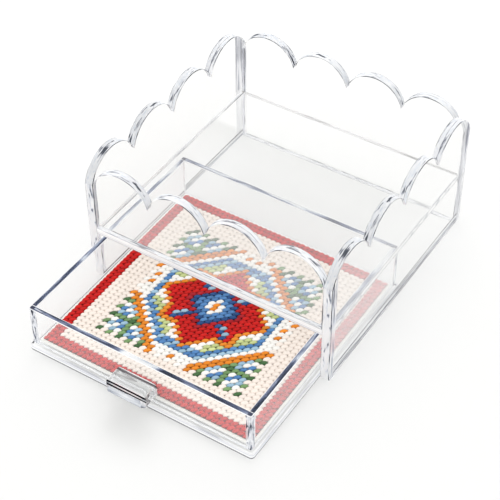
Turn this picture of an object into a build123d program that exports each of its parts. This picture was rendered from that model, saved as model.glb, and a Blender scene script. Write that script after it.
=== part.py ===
from build123d import *
import os

os.makedirs("parts", exist_ok=True)

# ---------------------------------------------------------------------------
# Scalloped clear acrylic tray on a low casing, with a flat pull-out drawer
# that shows a needlepoint panel.  Millimetres, +Z up, +Y to the back.
# Origin: middle of the whole footprint, on the surface the object stands on,
# with the drawer pulled out as stored.
# ---------------------------------------------------------------------------

# casing
case_w = 176.0          # outer width, X
case_d = 174.5          # outer depth, Y
sheet_t = 6.0           # thickness of the casing's acrylic plates
valley_z = 77.5         # height of the points between scallops
scallop_rise = 16.5     # scallop crown above those points
scallops = 4            # per side
foot_r = 3.0            # rounded foot corners of the side plates
floor_top = 43.0        # top of the tray floor
floor_t = 5.0           # thickness of the tray floor

# drawer
side_gap = 0.5          # drawer base plate to casing side, each side
back_gap = 1.0          # closed drawer to back panel
ride_gap = 0.3          # underside of the drawer above the table
base_t = 5.0            # drawer base plate
flange = 2.0            # base plate proud of the drawer walls, front and sides
flange_back = 1.0       # the same at the back
base_corner_r = 2.5
wall_t = 3.5            # drawer walls
wall_h = 30.0           # drawer walls, above the base plate
wall_corner_r = 1.2
pull_out = 74.6         # how far the drawer stands open as stored

# drawer pull
pull_w = 28.5
pull_reach = 13.5
pull_h = 10.5
pull_top = 22.7         # height of its top face above the table
pull_bevel = 2.2
pull_corner_r = 2.8

# needlepoint panel
stitch = 3.63           # seven stitches to the inch
stitches_x = 41
stitches_y = 42
canvas_margin = 1.1     # bare canvas round the stitches
board_t = 1.6
canvas_t = 0.7
yarn_t = 1.5

# derived places -------------------------------------------------------------
case_in_w = case_w - 2 * sheet_t
base_w = case_in_w - 2 * side_gap
base_d = case_d - sheet_t - back_gap
box_w = base_w - 2 * flange
box_d = base_d - flange - flange_back

overall_d = case_d + pull_out - flange + pull_reach
case_back = overall_d / 2
case_front = case_back - case_d
case_mid = (case_front + case_back) / 2

base_front = case_front - pull_out
base_back = base_front + base_d
box_front = base_front + flange
box_back = base_back - flange_back
base_z = ride_gap
wall_z = base_z + base_t

panel_w = stitches_x * stitch + 2 * canvas_margin
panel_d = stitches_y * stitch + 2 * canvas_margin
panel_y = (box_front + box_back) / 2


def crowned(u0, u1, bottom):
    """Closed outline in a sheet's own plane: straight foot and ends, and a
    row of equal arcs along the top.  Called inside BuildLine."""
    step = (u1 - u0) / scallops
    Line((u0, valley_z), (u0, bottom))
    Line((u0, bottom), (u1, bottom))
    Line((u1, bottom), (u1, valley_z))
    for i in range(scallops):
        a = u0 + i * step
        ThreePointArc((a, valley_z), (a + step / 2, valley_z + scallop_rise), (a + step, valley_z))


# ---- casing -----------------------------------------------------------------
# the two side plates run the full depth and reach the table
with BuildPart() as left_side:
    with BuildSketch(Plane.YZ.offset(-case_w / 2)):
        with BuildLine():
            crowned(case_front, case_back, 0.0)
        make_face()
    extrude(amount=sheet_t)
    fillet(left_side.edges().filter_by(Axis.X).group_by(Axis.Z)[0], radius=foot_r)
left_side.part.label = "left_side"

with BuildPart() as right_side:
    with BuildSketch(Plane.YZ.offset(case_w / 2 - sheet_t)):
        with BuildLine():
            crowned(case_front, case_back, 0.0)
        make_face()
    extrude(amount=sheet_t)
    fillet(right_side.edges().filter_by(Axis.X).group_by(Axis.Z)[0], radius=foot_r)
right_side.part.label = "right_side"

# the back panel stands between them, down to the table
with BuildPart() as back_panel:
    with BuildSketch(Plane.XZ.offset(-case_back)):
        with BuildLine():
            crowned(-case_in_w / 2, case_in_w / 2, 0.0)
        make_face()
    extrude(amount=sheet_t)
back_panel.part.label = "back_panel"

# the front panel stands on the tray floor and leaves the drawer's opening
with BuildPart() as front_panel:
    with BuildSketch(Plane.XZ.offset(-(case_front + sheet_t))):
        with BuildLine():
            crowned(-case_in_w / 2, case_in_w / 2, floor_top)
        make_face()
    extrude(amount=sheet_t)
front_panel.part.label = "front_panel"

# the tray floor is held between the sides and butts on the back panel
with BuildPart() as tray_floor:
    with BuildSketch(Plane.XY.offset(floor_top - floor_t)):
        with Locations((0, (case_front + case_back - sheet_t) / 2)):
            Rectangle(case_in_w, case_d - sheet_t)
    extrude(amount=floor_t)
tray_floor.part.label = "tray_floor"

# ---- drawer -----------------------------------------------------------------
with BuildPart() as drawer_base:
    with BuildSketch(Plane.XY.offset(base_z)):
        with Locations((0, (base_front + base_back) / 2)):
            RectangleRounded(base_w, base_d, base_corner_r)
    extrude(amount=base_t)
    fillet(drawer_base.edges().group_by(Axis.Z)[-1], radius=0.8)
    fillet(drawer_base.edges().group_by(Axis.Z)[0], radius=0.4)
drawer_base.part.label = "drawer_base"

with BuildPart() as drawer_front:
    with BuildSketch(Plane.XY.offset(wall_z)):
        with Locations((0, box_front + wall_t / 2)):
            Rectangle(box_w, wall_t)
    extrude(amount=wall_h)
    fillet(drawer_front.edges().filter_by(Axis.Z).group_by(Axis.Y)[0], radius=wall_corner_r)
drawer_front.part.label = "drawer_front"

with BuildPart() as drawer_back:
    with BuildSketch(Plane.XY.offset(wall_z)):
        with Locations((0, box_back - wall_t / 2)):
            Rectangle(box_w, wall_t)
    extrude(amount=wall_h)
    fillet(drawer_back.edges().filter_by(Axis.Z).group_by(Axis.Y)[-1], radius=wall_corner_r)
drawer_back.part.label = "drawer_back"

with BuildPart() as drawer_left_wall:
    with BuildSketch(Plane.XY.offset(wall_z)):
        with Locations((-box_w / 2 + wall_t / 2, (box_front + box_back) / 2)):
            Rectangle(wall_t, box_d - 2 * wall_t)
    extrude(amount=wall_h)
drawer_left_wall.part.label = "drawer_left_wall"

with BuildPart() as drawer_right_wall:
    with BuildSketch(Plane.XY.offset(wall_z)):
        with Locations((box_w / 2 - wall_t / 2, (box_front + box_back) / 2)):
            Rectangle(wall_t, box_d - 2 * wall_t)
    extrude(amount=wall_h)
drawer_right_wall.part.label = "drawer_right_wall"

# solid block pull: wide bevels round its outer face, flat where it is bonded
with BuildPart() as drawer_pull:
    with BuildSketch(Plane.XZ.offset(-box_front)):
        with Locations((0, pull_top - pull_h / 2)):
            RectangleRounded(pull_w, pull_h, pull_corner_r)
    extrude(amount=pull_reach)
    chamfer(drawer_pull.faces().sort_by(Axis.Y)[0].edges(), length=pull_bevel)
drawer_pull.part.label = "drawer_pull"

# ---- needlepoint panel ------------------------------------------------------
with BuildPart() as insert_board:
    with BuildSketch(Plane.XY.offset(wall_z)):
        with Locations((0, panel_y)):
            RectangleRounded(panel_w, panel_d, 0.8)
    extrude(amount=board_t)
insert_board.part.label = "insert_board"

with BuildPart() as needlepoint_canvas:
    with BuildSketch(Plane.XY.offset(wall_z + board_t)):
        with Locations((0, panel_y)):
            RectangleRounded(panel_w, panel_d, 0.8)
    extrude(amount=canvas_t)
needlepoint_canvas.part.label = "needlepoint_canvas"

with BuildPart() as needlepoint_yarn:
    with BuildSketch(Plane.XY.offset(wall_z + board_t + canvas_t)):
        with Locations((0, panel_y)):
            RectangleRounded(stitches_x * stitch, stitches_y * stitch, 1.0)
    extrude(amount=yarn_t)
    fillet(needlepoint_yarn.edges().group_by(Axis.Z)[-1], radius=0.7)
needlepoint_yarn.part.label = "needlepoint_yarn"

# ---- one file per piece -----------------------------------------------------
export_step(left_side.part, "parts/left_side.step")
export_step(right_side.part, "parts/right_side.step")
export_step(back_panel.part, "parts/back_panel.step")
export_step(front_panel.part, "parts/front_panel.step")
export_step(tray_floor.part, "parts/tray_floor.step")
export_step(drawer_base.part, "parts/drawer_base.step")
export_step(drawer_front.part, "parts/drawer_front.step")
export_step(drawer_back.part, "parts/drawer_back.step")
export_step(drawer_left_wall.part, "parts/drawer_left_wall.step")
export_step(drawer_right_wall.part, "parts/drawer_right_wall.step")
export_step(drawer_pull.part, "parts/drawer_pull.step")
export_step(insert_board.part, "parts/insert_board.step")
export_step(needlepoint_canvas.part, "parts/needlepoint_canvas.step")
export_step(needlepoint_yarn.part, "parts/needlepoint_yarn.step")

print("casing", case_w, case_d, valley_z + scallop_rise, "front at", case_front, "back at", case_back)
print("drawer base", base_w, base_d, "from", base_front, "to", base_back)
print("drawer box", box_w, box_d, "from", box_front, "to", box_back)
print("panel", panel_w, panel_d, "middle", panel_y, "overall depth", overall_d)
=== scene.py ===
import math
import bpy, bmesh
import numpy as np
from mathutils import Vector, Matrix


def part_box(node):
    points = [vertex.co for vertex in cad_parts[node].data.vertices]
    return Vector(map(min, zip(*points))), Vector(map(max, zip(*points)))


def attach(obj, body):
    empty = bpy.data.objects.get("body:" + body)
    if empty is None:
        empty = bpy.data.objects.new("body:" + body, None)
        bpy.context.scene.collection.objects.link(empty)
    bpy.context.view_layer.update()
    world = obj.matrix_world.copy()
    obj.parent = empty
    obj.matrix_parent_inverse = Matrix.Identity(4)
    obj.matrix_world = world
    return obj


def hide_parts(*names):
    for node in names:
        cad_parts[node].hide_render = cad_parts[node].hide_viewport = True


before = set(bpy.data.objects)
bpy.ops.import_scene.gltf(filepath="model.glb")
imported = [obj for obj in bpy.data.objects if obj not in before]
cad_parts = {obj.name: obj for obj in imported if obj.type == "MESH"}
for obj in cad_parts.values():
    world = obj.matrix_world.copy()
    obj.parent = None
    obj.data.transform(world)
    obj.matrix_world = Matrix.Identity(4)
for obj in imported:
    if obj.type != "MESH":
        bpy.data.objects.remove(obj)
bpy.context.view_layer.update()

rng = np.random.default_rng(20260)
scene = bpy.context.scene
MM = 0.001

# ---------------------------------------------------------------------------
# camera
# ---------------------------------------------------------------------------
cam_data = bpy.data.cameras.new("camera")
cam_data.lens = 104.8835
cam_data.sensor_width = 36.0
cam_data.sensor_fit = "HORIZONTAL"
cam_data.clip_start = 0.01
cam_data.clip_end = 50.0
cam = bpy.data.objects.new("camera", cam_data)
scene.collection.objects.link(cam)
cam.location = (0.363509, -0.558267, 0.662938)
cam.rotation_euler = (math.radians(46.4674), math.radians(0.2151), math.radians(32.5821))
scene.camera = cam

# ---------------------------------------------------------------------------
# places, from the frame (metres)
# ---------------------------------------------------------------------------
B = {n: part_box(n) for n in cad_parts}
GAP = 0.04 * MM          # bond line between plates


def srgb(r, g, b):
    def f(c):
        c /= 255.0
        return c / 12.92 if c <= 0.04045 else ((c + 0.055) / 1.055) ** 2.4
    return (f(r), f(g), f(b), 1.0)


# ---------------------------------------------------------------------------
# node helpers
# ---------------------------------------------------------------------------
def new_mat(name):
    m = bpy.data.materials.new(name)
    m.use_nodes = True
    nt = m.node_tree
    nt.nodes.clear()
    return m, nt


def N(nt, kind, **kw):
    n = nt.nodes.new(kind)
    for k, v in kw.items():
        setattr(n, k, v)
    return n


def L(nt, a, b):
    nt.links.new(a, b)


# ---------------------------------------------------------------------------
# acrylic
# ---------------------------------------------------------------------------
def glassy(nt, tint=None, tint_link=None, normal=None, shadow=(0.985, 0.986, 0.987, 1), veil=None, calm=False):
    """Clear acrylic that lets its shadow rays through.  veil mixes in a diffuse layer,
    painted light that stands in for the milky light that a sawn and polished edge
    gathers from inside the sheet.  calm gives a broad face a painted pale sheen,
    white diffuse weighted by Fresnel, in place of mirror images."""
    out = N(nt, "ShaderNodeOutputMaterial")
    glass = N(nt, "ShaderNodeBsdfGlass")
    glass.inputs["Roughness"].default_value = 0.0
    glass.inputs["IOR"].default_value = 1.49
    if tint_link is not None:
        L(nt, tint_link, glass.inputs["Color"])
    else:
        glass.inputs["Color"].default_value = tint
    if normal is not None:
        L(nt, normal, glass.inputs["Normal"])
    front = glass.outputs[0]
    sheen = None
    if calm:
        fr = N(nt, "ShaderNodeFresnel")
        fr.inputs["IOR"].default_value = 1.49
        bend = N(nt, "ShaderNodeBsdfRefraction")
        bend.inputs["Roughness"].default_value = 0.0
        bend.inputs["IOR"].default_value = 1.49
        if tint_link is not None:
            L(nt, tint_link, bend.inputs["Color"])
        else:
            bend.inputs["Color"].default_value = tint
        if normal is not None:
            L(nt, normal, fr.inputs["Normal"]); L(nt, normal, bend.inputs["Normal"])
        held = N(nt, "ShaderNodeMath", operation="GREATER_THAN")     # light held inside the sheet
        held.inputs[1].default_value = 0.6
        L(nt, fr.outputs[0], held.inputs[0])
        mh = N(nt, "ShaderNodeMixShader")
        L(nt, held.outputs[0], mh.inputs[0])
        L(nt, bend.outputs[0], mh.inputs[1])
        L(nt, glass.outputs[0], mh.inputs[2])
        front = mh.outputs[0]
        free = N(nt, "ShaderNodeMath", operation="SUBTRACT")
        free.inputs[0].default_value = 1.0
        L(nt, held.outputs[0], free.inputs[1])
        amt = N(nt, "ShaderNodeMath", operation="ADD")
        amt.inputs[1].default_value = 0.0 if veil is None else veil[0]
        L(nt, fr.outputs[0], amt.inputs[0])
        both = N(nt, "ShaderNodeMath", operation="MULTIPLY")
        L(nt, amt.outputs[0], both.inputs[0]); L(nt, free.outputs[0], both.inputs[1])
        sheen = both.outputs[0]
        if veil is None:
            veil = (0.0, None, (1.0, 1.0, 1.0, 1))
    if veil is not None:
        amount, colour_link, colour = veil
        df = N(nt, "ShaderNodeBsdfDiffuse")
        if colour_link is not None:
            L(nt, colour_link, df.inputs["Color"])
        else:
            df.inputs["Color"].default_value = colour
        mv = N(nt, "ShaderNodeMixShader")
        mv.inputs[0].default_value = amount
        if sheen is not None:
            L(nt, sheen, mv.inputs[0])
        L(nt, front, mv.inputs[1])
        L(nt, df.outputs[0], mv.inputs[2])
        front = mv.outputs[0]
    clear = N(nt, "ShaderNodeBsdfTransparent")
    clear.inputs["Color"].default_value = shadow
    lp = N(nt, "ShaderNodeLightPath")
    passes = N(nt, "ShaderNodeMath", operation="MAXIMUM")      # soft light goes straight through too
    L(nt, lp.outputs["Is Shadow Ray"], passes.inputs[0])
    L(nt, lp.outputs["Is Diffuse Ray"], passes.inputs[1])
    mix = N(nt, "ShaderNodeMixShader")
    L(nt, passes.outputs[0], mix.inputs[0])
    L(nt, front, mix.inputs[1])
    L(nt, clear.outputs[0], mix.inputs[2])
    L(nt, mix.outputs[0], out.inputs["Surface"])


def face_mat(name, tint, ripple=0.012, scale=60.0, shadow=(0.985, 0.986, 0.987, 1), painted_sheen=None, calm=True, fade=None):
    """Broad face.  The white diffuse that calm and the sheen weight mix in is a painted sheen, standing in for
    reflections of the bright surroundings.  fade is a list of (y, colour), the tint by the place along the sheet.
    """
    m, nt = new_mat(name)
    tc = N(nt, "ShaderNodeTexCoord")
    n1 = N(nt, "ShaderNodeTexNoise")
    n1.inputs["Scale"].default_value = scale
    n1.inputs["Detail"].default_value = 2.5
    bump = N(nt, "ShaderNodeBump")
    bump.inputs["Strength"].default_value = ripple
    bump.inputs["Distance"].default_value = 0.0004
    L(nt, tc.outputs["Object"], n1.inputs["Vector"])
    L(nt, n1.outputs["Fac"], bump.inputs["Height"])
    link = None
    if fade is not None:
        sp = N(nt, "ShaderNodeSeparateXYZ")
        L(nt, tc.outputs["Object"], sp.inputs[0])
        mr = N(nt, "ShaderNodeMapRange")
        y0, y1 = fade[0][0], fade[-1][0]
        mr.inputs["From Min"].default_value = y0
        mr.inputs["From Max"].default_value = y1
        L(nt, sp.outputs["Y"], mr.inputs["Value"])
        fr = N(nt, "ShaderNodeValToRGB")
        fe = fr.color_ramp.elements
        fe[0].position, fe[0].color = 0.0, tuple(fade[0][1]) + (1,)
        fe[1].position, fe[1].color = 1.0, tuple(fade[-1][1]) + (1,)
        for y, col in fade[1:-1]:
            e = fe.new((y - y0) / (y1 - y0))
            e.color = tuple(col) + (1,)
        L(nt, mr.outputs["Result"], fr.inputs["Fac"])
        link = fr.outputs["Color"]
    glassy(nt, tint=tint, tint_link=link, normal=bump.outputs[0], shadow=shadow, calm=calm,
           veil=None if painted_sheen is None else (painted_sheen, None, (1.0, 1.0, 1.0, 1)))
    return m


def edge_mat(name, stops, along, across, detail=3.0, distortion=0.5, ripple=0.25, veil=None,
             shadow=(0.90, 0.903, 0.91, 1), offset=(0, 0), profile=None, patchy=None, middle=None, upright=False, tips=None, along_bias=None):
    """A polished edge: long tapered dark and white streaks that run along it,
    painted shade and painted highlights in the glass tint and the veil that stand
    in for the surroundings that the edge shows by refraction and reflection.
    along and across are the streaks' length and width in millimetres; stops are
    (place, colour).  profile multiplies in a colour by the place across the sheet,
    for painted dark lines of shade along the edge; patchy is the length and
    strength of clear and busy stretches, middle is the half width and strength by
    which the streaks keep to the middle, tips darkens the ends past a distance from
    the sheet's own middle as painted shade, and along_bias is a list of
    (millimetres, shift) that makes whole stretches darker or paler, as painted
    shade and light."""
    m, nt = new_mat(name)
    uv = N(nt, "ShaderNodeUVMap"); uv.uv_map = "edge"
    mp = N(nt, "ShaderNodeMapping")
    mp.inputs["Location"].default_value = (offset[0], offset[1], 0)
    mp.inputs["Scale"].default_value = (1.0 / across, 1.0 / along, 1.0) if upright else (1.0 / along, 1.0 / across, 1.0)
    ns = N(nt, "ShaderNodeTexNoise")
    ns.inputs["Scale"].default_value = 1.0
    ns.inputs["Detail"].default_value = detail
    ns.inputs["Roughness"].default_value = 0.5
    ns.inputs["Distortion"].default_value = distortion
    L(nt, uv.outputs[0], mp.inputs["Vector"])
    L(nt, mp.outputs[0], ns.inputs["Vector"])
    xy = N(nt, "ShaderNodeSeparateXYZ")
    L(nt, uv.outputs[0], xy.inputs[0])
    fac = ns.outputs["Fac"]
    if patchy is not None:
        n2 = N(nt, "ShaderNodeTexNoise", noise_dimensions="1D")
        n2.inputs["Scale"].default_value = 1.0
        n2.inputs["Detail"].default_value = 1.0
        w = N(nt, "ShaderNodeMath", operation="MULTIPLY")
        w.inputs[1].default_value = 1.0 / patchy[0]
        L(nt, xy.outputs["Y" if upright else "X"], w.inputs[0])
        L(nt, w.outputs[0], n2.inputs["W"])
        k = N(nt, "ShaderNodeMath", operation="MULTIPLY_ADD")
        k.inputs[1].default_value = patchy[1]
        L(nt, n2.outputs["Fac"], k.inputs[0]); L(nt, fac, k.inputs[2])
        k2 = N(nt, "ShaderNodeMath", operation="SUBTRACT")
        k2.inputs[1].default_value = patchy[1] * 0.5
        L(nt, k.outputs[0], k2.inputs[0])
        fac = k2.outputs[0]
    if along_bias is not None:
        first, last = along_bias[0][0], along_bias[-1][0]
        mr = N(nt, "ShaderNodeMapRange")
        mr.inputs["From Min"].default_value = first
        mr.inputs["From Max"].default_value = last
        L(nt, xy.outputs["X"], mr.inputs["Value"])
        br = N(nt, "ShaderNodeValToRGB")
        be = br.color_ramp.elements
        be[0].position, be[0].color = 0.0, (0.5 + along_bias[0][1],) * 3 + (1,)
        be[1].position, be[1].color = 1.0, (0.5 + along_bias[-1][1],) * 3 + (1,)
        for p, b in along_bias[1:-1]:
            e = be.new((p - first) / (last - first))
            e.color = (0.5 + b,) * 3 + (1,)
        L(nt, mr.outputs["Result"], br.inputs["Fac"])
        k = N(nt, "ShaderNodeMath", operation="ADD")
        L(nt, br.outputs["Color"], k.inputs[0]); L(nt, fac, k.inputs[1])
        k2 = N(nt, "ShaderNodeMath", operation="SUBTRACT")
        k2.inputs[1].default_value = 0.5
        L(nt, k.outputs[0], k2.inputs[0])
        fac = k2.outputs[0]
    if middle is not None:
        d = N(nt, "ShaderNodeMath", operation="SUBTRACT")
        d.inputs[1].default_value = middle[0]
        L(nt, xy.outputs["Y"], d.inputs[0])
        ab = N(nt, "ShaderNodeMath", operation="ABSOLUTE")
        L(nt, d.outputs[0], ab.inputs[0])
        k = N(nt, "ShaderNodeMath", operation="MULTIPLY_ADD")
        k.inputs[1].default_value = middle[1] / middle[0]
        L(nt, ab.outputs[0], k.inputs[0]); L(nt, fac, k.inputs[2])
        fac = k.outputs[0]
    rp = N(nt, "ShaderNodeValToRGB")
    el = rp.color_ramp.elements
    el[0].position, el[0].color = stops[0][0], tuple(stops[0][1]) + (1,)
    el[1].position, el[1].color = stops[-1][0], tuple(stops[-1][1]) + (1,)
    for p, c in stops[1:-1]:
        e = el.new(p)
        e.color = tuple(c) + (1,)
    L(nt, fac, rp.inputs["Fac"])
    colour = rp.outputs["Color"]
    if profile is not None:
        thick = profile[-1][0]
        dv = N(nt, "ShaderNodeMath", operation="DIVIDE")
        dv.inputs[1].default_value = thick
        L(nt, xy.outputs["Y"], dv.inputs[0])
        pr = N(nt, "ShaderNodeValToRGB")
        pe = pr.color_ramp.elements
        pe[0].position, pe[0].color = profile[0][0] / thick, tuple(profile[0][1]) + (1,)
        pe[1].position, pe[1].color = 1.0, tuple(profile[-1][1]) + (1,)
        for p, c in profile[1:-1]:
            e = pe.new(p / thick)
            e.color = tuple(c) + (1,)
        L(nt, dv.outputs[0], pr.inputs["Fac"])
        mu = N(nt, "ShaderNodeMix", data_type="RGBA", blend_type="MULTIPLY")
        mu.inputs["Factor"].default_value = 1.0
        L(nt, colour, mu.inputs["A"]); L(nt, pr.outputs["Color"], mu.inputs["B"])
        colour = mu.outputs["Result"]
    if tips is not None:
        ab = N(nt, "ShaderNodeMath", operation="ABSOLUTE")
        L(nt, xy.outputs["X"], ab.inputs[0])
        mr = N(nt, "ShaderNodeMapRange")
        mr.inputs["From Min"].default_value = tips
        mr.inputs["From Max"].default_value = tips + 0.5
        L(nt, ab.outputs[0], mr.inputs["Value"])
        tm = N(nt, "ShaderNodeMix", data_type="RGBA")
        tm.inputs["B"].default_value = (0.09, 0.10, 0.15, 1)
        L(nt, mr.outputs["Result"], tm.inputs["Factor"]); L(nt, colour, tm.inputs["A"])
        colour = tm.outputs["Result"]
    bump = N(nt, "ShaderNodeBump")
    bump.inputs["Strength"].default_value = ripple
    bump.inputs["Distance"].default_value = 0.0003
    L(nt, ns.outputs["Fac"], bump.inputs["Height"])
    v = None
    if veil is not None:
        v = (veil, colour, None)
    glassy(nt, tint_link=colour, normal=bump.outputs[0], shadow=shadow, veil=v)
    return m


WHITE = (1.0, 1.0, 1.0)
pane = face_mat("acrylic_face", (0.991, 0.991, 0.989, 1))
# The floor's tint darkens from the front to 86 mm back and is pale again past 88.5 mm: painted shadow for the shade on
# the table under the tray, seen through the floor.  Its white diffuse weight is a painted sheen.
floor_pane = face_mat("acrylic_floor_face", (0.996, 0.997, 0.998, 1), shadow=(0.915, 0.916, 0.915, 1), painted_sheen=0.062,
                      fade=[(-0.04, (0.996, 0.997, 0.998)), (0.0, (0.985, 0.985, 0.985)), (0.060, (0.955, 0.955, 0.952)),
                            (0.086, (0.925, 0.925, 0.921)), (0.0885, (0.985, 0.985, 0.984)), (0.13, (0.985, 0.985, 0.984))])
# The edges below: dark and white streaks painted into the glass tint and veil, painted shade and painted highlights
# that stand in for what polished edges and arrises show of their surroundings.
rim = edge_mat("acrylic_polished_edge",
               [(0.32, (0.10, 0.11, 0.13)), (0.38, (0.26, 0.27, 0.31)), (0.415, (0.54, 0.56, 0.61)), (0.445, (0.92, 0.93, 0.955)),
                (0.52, (0.985, 0.988, 1.0)), (0.565, WHITE), (0.61, (0.72, 0.78, 0.87)), (0.655, WHITE)],
               along=12.0, across=1.4, detail=2.0, distortion=0.9, veil=0.60, patchy=(20.0, 0.32), middle=(3.0, 0.08), ripple=0.4)
end_face = edge_mat("acrylic_end_face",
                    [(0.31, (0.10, 0.11, 0.14)), (0.36, (0.42, 0.45, 0.52)), (0.41, (0.86, 0.88, 0.94)), (0.47, (0.985, 0.99, 1.0)), (0.60, WHITE)],
                    along=10.0, across=1.8, detail=2.0, distortion=0.8, veil=0.74, patchy=(18.0, 0.22), ripple=0.3)
arris = edge_mat("acrylic_arris",
                 [(0.40, (0.05, 0.055, 0.07)), (0.47, (0.22, 0.23, 0.26)), (0.53, (0.62, 0.64, 0.68)), (0.58, WHITE)],
                 along=16.0, across=30.0, ripple=0.1, veil=0.40, patchy=(22.0, 0.36))
# The sheets' bottom faces, where they stand on the table: a dark strip 1.4 mm wide along one side and a slight grey at
# the other, painted contact shade, under painted dark and white streaks.
foot = edge_mat("acrylic_foot_edge",
                [(0.38, (0.08, 0.085, 0.10)), (0.45, (0.40, 0.41, 0.45)), (0.50, (0.94, 0.945, 0.96)), (0.62, WHITE)],
                along=45.0, across=1.3, detail=1.5, distortion=0.3, ripple=0.1, veil=0.5, patchy=(40.0, 0.18),
                profile=[(0.0, (0.14, 0.145, 0.17)), (1.4, (0.30, 0.31, 0.35)), (1.7, WHITE), (5.0, WHITE), (6.0, (0.80, 0.80, 0.84))])
# The lowest 5.3 mm of the side sheets' inner faces: grey at the bottom and a near-black band from 4.15 mm up, painted
# shade along the sheet's foot, with streaks.
foot_band = edge_mat("acrylic_foot_band",
                     [(0.36, (0.20, 0.205, 0.22)), (0.44, (0.70, 0.71, 0.75)), (0.50, (0.97, 0.97, 0.985)), (0.66, WHITE)],
                     along=60.0, across=1.6, detail=1.5, distortion=0.3, ripple=0.05, veil=0.72, patchy=(46.0, 0.18),
                     profile=[(0.0, (0.50, 0.51, 0.56)), (0.6, (0.72, 0.73, 0.78)), (0.9, WHITE), (4.0, WHITE), (4.15, (0.06, 0.06, 0.07)),
                              (5.3, (0.10, 0.10, 0.11))])
# The bonded ends of the front and back sheets, and the strips of the side sheets' outer faces over the front sheet's
# end: dark and pale streaks painted in, painted shade and light that stand in for the bonded end seen through the
# sheet.
joint = edge_mat("acrylic_bonded_edge",
                 [(0.36, (0.16, 0.17, 0.21)), (0.43, (0.44, 0.46, 0.52)), (0.50, (0.90, 0.90, 0.93)), (0.57, (0.60, 0.62, 0.69)),
                  (0.64, (0.97, 0.97, 0.985))],
                 along=40.0, across=1.1, ripple=0.2, veil=0.62)
bond = edge_mat("acrylic_bonded_zone",
                [(0.36, (0.20, 0.215, 0.26)), (0.43, (0.56, 0.59, 0.66)), (0.49, (0.93, 0.945, 0.975)), (0.62, WHITE)],
                along=26.0, across=1.4, ripple=0.2, veil=0.34, upright=True, patchy=(28.0, 0.20))
# The strips of the side sheets' outer faces over the back sheet's end, and the back sheet's outer face by its left end:
# grey streaks, darker above the tray floor and paler below it, painted shade that stands in for the bonded end seen
# through the sheet.
post = edge_mat("acrylic_post",
                [(0.38, (0.34, 0.35, 0.39)), (0.45, (0.50, 0.51, 0.55)), (0.50, (0.70, 0.71, 0.75)), (0.56, (0.86, 0.87, 0.90)), (0.66, (0.97, 0.97, 0.98))],
                along=34.0, across=2.0, detail=2.0, distortion=0.4, ripple=0.2, veil=0.45, upright=True, patchy=(30.0, 0.14))
post_low = edge_mat("acrylic_post_low",
                    [(0.36, (0.74, 0.75, 0.77)), (0.50, (0.90, 0.90, 0.91)), (0.62, WHITE)],
                    along=34.0, across=2.4, detail=1.0, distortion=0.2, ripple=0.05, veil=0.4, upright=True)
# The tray floor's front edge: white veil with a dark line along its bottom and a grey line above it, painted light and
# painted shade.
slab_edge = edge_mat("acrylic_floor_edge",
                     [(0.30, (0.74, 0.77, 0.85)), (0.38, (0.94, 0.955, 1.0)), (0.45, WHITE), (0.62, WHITE)],
                     along=80.0, across=1.5, ripple=0.05, veil=0.93,
                     profile=[(0.0, (0.20, 0.20, 0.23)), (0.5, (0.34, 0.34, 0.38)), (0.75, WHITE), (1.3, WHITE), (1.45, (0.66, 0.67, 0.71)),
                              (1.75, (0.70, 0.71, 0.75)), (1.9, WHITE), (5.0, WHITE)])
# The tray floor's ends against the walls: pale streaks with a dark line along the top, and on the right along the
# bottom too, painted shade lines with painted light.
floor_joint = edge_mat("acrylic_floor_joint",
                       [(0.30, (0.80, 0.81, 0.84)), (0.40, (0.96, 0.965, 0.98)), (0.48, WHITE), (0.70, WHITE)],
                       along=26.0, across=2.2, ripple=0.05, veil=0.80,
                       profile=[(0.0, WHITE), (4.1, WHITE), (4.35, (0.45, 0.45, 0.47)), (5.0, (0.40, 0.40, 0.42))])
floor_joint_back = edge_mat("acrylic_floor_joint_back",
                            [(0.34, (0.44, 0.44, 0.43)), (0.46, (0.82, 0.82, 0.81)), (0.56, WHITE)],
                            along=34.0, across=9.0, ripple=0.05, veil=0.80, patchy=(30.0, 0.2),
                            profile=[(0.0, WHITE), (4.1, WHITE), (4.4, (0.58, 0.58, 0.57)), (5.0, (0.52, 0.52, 0.51))])
floor_joint_right = edge_mat("acrylic_floor_joint_right",
                             [(0.36, (0.58, 0.59, 0.62)), (0.42, (0.88, 0.89, 0.91)), (0.46, WHITE), (0.70, WHITE)],
                             along=6.5, across=4.0, detail=1.0, distortion=0.3, ripple=0.05, veil=0.84, patchy=(16.0, 0.2),
                             profile=[(0.0, (0.16, 0.16, 0.18)), (0.7, (0.30, 0.30, 0.32)), (1.0, WHITE), (4.0, WHITE), (4.3, (0.30, 0.30, 0.32)),
                                      (5.0, (0.16, 0.16, 0.18))])
seam = edge_mat("acrylic_seam",
                [(0.38, (0.08, 0.085, 0.09)), (0.50, (0.22, 0.225, 0.235)), (0.58, (0.50, 0.50, 0.51)), (0.66, (0.85, 0.85, 0.86))],
                along=40.0, across=60.0, ripple=0.02, veil=0.5, patchy=(40.0, 0.14))
seam_faint = edge_mat("acrylic_seam_faint",
                      [(0.36, (0.62, 0.62, 0.63)), (0.50, (0.86, 0.86, 0.86)), (0.60, WHITE)],
                      along=40.0, across=60.0, ripple=0.02, veil=0.5, patchy=(40.0, 0.2))
# The tray floor's arrises: grey and white streaks, painted shade and painted highlights.
soft_arris = edge_mat("acrylic_soft_arris",
                      [(0.34, (0.50, 0.52, 0.58)), (0.46, (0.88, 0.89, 0.92)), (0.56, WHITE)],
                      along=30.0, across=30.0, ripple=0.05, veil=0.6, patchy=(30.0, 0.2))
# The drawer faces' white diffuse weight is a painted sheen.
drawer_pane = face_mat("drawer_acrylic_face", (0.996, 0.998, 0.998, 1), 0.008, 70.0, painted_sheen=0.028)
base_pane = face_mat("drawer_base_face", (0.997, 0.998, 0.998, 1), 0.008, 70.0)
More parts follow.
